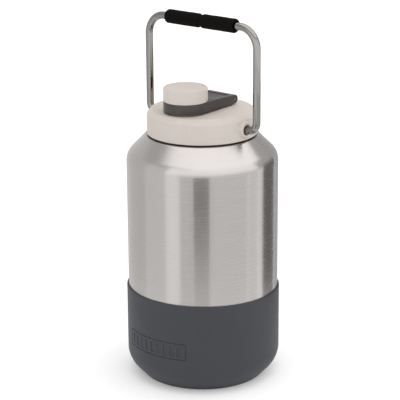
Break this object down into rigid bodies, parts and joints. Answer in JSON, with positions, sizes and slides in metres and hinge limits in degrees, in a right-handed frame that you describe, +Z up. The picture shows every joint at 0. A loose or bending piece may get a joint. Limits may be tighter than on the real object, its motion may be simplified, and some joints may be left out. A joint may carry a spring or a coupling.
{
  "type": "insulated growler",
  "caption": "Double-walled steel growler with a rubber boot, a screw lid, a strap-held screw cap over an off-centre spout, and a swinging wire bail with a foam grip.",
  "frame": {"origin": "centre of the boot's flat foot, on the surface the growler stands on", "axes": "+Z up along the bottle's axis, +X along the bail's pivots, -Y towards the spout, +Y towards the strap's hinge"},
  "size_m": [0.165, 0.165, 0.3925],
  "materials": {
    "brushed_steel": "vertically lit, circumferentially brushed",
    "plain_steel": "satin",
    "handle_steel": "fine satin",
    "pin_steel": "polished",
    "boot_rubber": "matt, soft touch",
    "black_rubber": "matt",
    "seal_rubber": "matt, translucent white",
    "lid_plastic": "fine moulded texture",
    "core_plastic": "smooth",
    "strap_plastic": "fine moulded texture",
    "foam_white": "closed-cell foam",
    "grip_foam": "closed-cell foam",
    "seal_glass": "fused bead",
    "getter_metal": "sintered"
  },
  "bodies": {
    "bottle": {"outer_shell": "brushed_steel", "neck": "brushed_steel", "inner_vessel": "plain_steel", "throat": "plain_steel", "shell_base": "plain_steel", "vacuum_seal": "seal_glass", "base_disc": "plain_steel", "getter": "getter_metal", "boot": "boot_rubber", "skirt_ring": "black_rubber"},
    "lid_seal": {"lid_gasket": "seal_rubber"},
    "lid": {"lid_cover": "lid_plastic", "lid_core": "core_plastic", "lid_insulation": "foam_white", "spout": "core_plastic", "spout_seal_ring": "black_rubber"},
    "bail": {"handle_rod": "handle_steel", "grip_right": "grip_foam", "grip_left": "grip_foam"},
    "strap": {"strap": "strap_plastic", "hinge_pin": "pin_steel"},
    "cap_seal": {"cap_gasket": "seal_rubber"},
    "cap": {"cap_cover": "lid_plastic", "cap_core": "core_plastic", "cap_insulation": "foam_white"}
  },
  "joints": [
    {"name": "lid_lift", "type": "slide", "parent": "bottle", "child": "lid_seal", "axis": [0, 0, 1], "range_m": [0, 0.024]},
    {"name": "lid_turn", "type": "hinge", "parent": "lid_seal", "child": "lid", "pos_m": [0, 0, 0.275], "axis": [0, 0, 1], "range_deg": [0, 1081]},
    {"name": "bail_swing", "type": "hinge", "parent": "lid", "child": "bail", "pos_m": [0, 0, 0.2783], "axis": [1, 0, 0], "range_deg": [-120, 120]},
    {"name": "strap_hinge", "type": "hinge", "parent": "lid", "child": "strap", "pos_m": [0, 0.0322, 0.2989], "axis": [-1, 0, 0], "range_deg": [0, 120]},
    {"name": "cap_lift", "type": "slide", "parent": "strap", "child": "cap_seal", "axis": [0, 0, 1], "range_m": [0, 0.0045]},
    {"name": "cap_turn", "type": "hinge", "parent": "cap_seal", "child": "cap", "pos_m": [0, -0.026, 0.31], "axis": [0, 0, 1], "range_deg": [0, 541]}
  ],
  "couplings": [
    {"joint": "lid_turn", "follows": "lid_lift", "rad_per_m": 785.4},
    {"joint": "cap_turn", "follows": "cap_lift", "rad_per_m": 2094.4}
  ]
}
